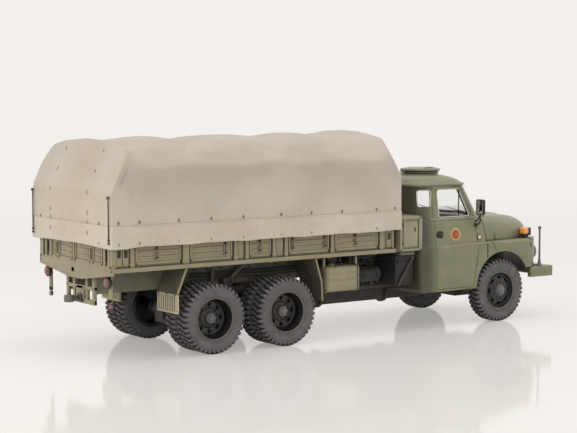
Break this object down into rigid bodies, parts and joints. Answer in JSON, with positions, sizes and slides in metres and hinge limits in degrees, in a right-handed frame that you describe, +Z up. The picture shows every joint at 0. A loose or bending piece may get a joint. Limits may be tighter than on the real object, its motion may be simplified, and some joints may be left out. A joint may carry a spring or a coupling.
{
  "type": "scale model of a military cargo truck",
  "caption": "Display scale model of a bonneted cargo truck with a twin-wheel rear bogie, boarded bed under a moulded tilt cover, and wheels that roll on steel pins.",
  "frame": {"origin": "on the floor, under the middle of the whole model's box", "axes": "+X forward, +Y to the model's left, +Z up"},
  "size_m": [0.2094, 0.0616, 0.0761],
  "materials": {
    "tyre_rubber": "dull black rubber",
    "wheel_black": "satin black",
    "pin_steel": "plain steel",
    "underframe_black": "matt black",
    "bed_khaki": "satin khaki green",
    "cab_olive": "semi-gloss olive green",
    "tilt_canvas": "matt, moulded canvas weave",
    "dark_trim": "matt dark grey",
    "clear_glass": "clear",
    "cab_interior": "matt black",
    "lamp_lens": "clear lens over a bright bowl",
    "amber_lens": "amber lens",
    "repeater_lens": "white lens",
    "red_lens": "dark red lens"
  },
  "bodies": {
    "truck": {"air_tanks": "underframe_black", "back_glass": "clear_glass", "backbone_tube": "underframe_black", "battery_boxes": "underframe_black", "bed_floor": "bed_khaki", "bonnet": "cab_olive", "cab_floor": "cab_interior", "cab_shell": "cab_olive", "chassis_frame": "underframe_black", "corner_glass": "clear_glass", "dashboard": "cab_interior", "door_glass": "clear_glass", "door_handles": "dark_trim", "front_bumper": "cab_olive", "front_fenders": "cab_olive", "front_mudguards": "bed_khaki", "fuel_tanks": "cab_olive", "gearbox": "underframe_black", "grille": "cab_olive", "half_axles": "underframe_black", "headboard": "bed_khaki", "headlamps": "lamp_lens", "indicator_feet": "dark_trim", "indicator_lamps": "amber_lens", "lacing_rods": "dark_trim", "lamp_boards": "bed_khaki", "left_door": "cab_olive", "left_side_boards": "bed_khaki", "marker_poles": "dark_trim", "mirrors": "dark_trim", "rear_mudflaps": "bed_khaki", "rear_sill_plate": "bed_khaki", "reflectors": "red_lens", "right_door": "cab_olive", "right_side_boards": "bed_khaki", "roof_hatch": "cab_olive", "seats": "cab_interior", "side_repeaters": "repeater_lens", "springs": "underframe_black", "steering_wheel": "cab_interior", "storage_lockers": "cab_olive", "tail_lamps": "red_lens", "tailboard": "bed_khaki", "tilt_cover": "tilt_canvas", "tow_bar": "dark_trim", "tow_plate": "bed_khaki", "windscreen": "clear_glass"},
    "front_axle": {"front_axle_pin": "pin_steel", "front_rims": "wheel_black", "front_tyres": "tyre_rubber"},
    "mid_axle": {"mid_axle_pin": "pin_steel", "mid_rims": "wheel_black", "mid_tyres": "tyre_rubber"},
    "rear_axle": {"rear_axle_pin": "pin_steel", "rear_rims": "wheel_black", "rear_tyres": "tyre_rubber"}
  },
  "joints": [
    {"name": "front_wheels_roll", "type": "hinge", "parent": "truck", "child": "front_axle", "pos_m": [0.0764, 0, 0.0125], "axis": [0, 1, 0], "continuous": true},
    {"name": "mid_wheels_roll", "type": "hinge", "parent": "truck", "child": "mid_axle", "pos_m": [-0.02965, 0, 0.0125], "axis": [0, 1, 0], "continuous": true},
    {"name": "rear_wheels_roll", "type": "hinge", "parent": "truck", "child": "rear_axle", "pos_m": [-0.0606, 0, 0.0125], "axis": [0, 1, 0], "continuous": true}
  ]
}
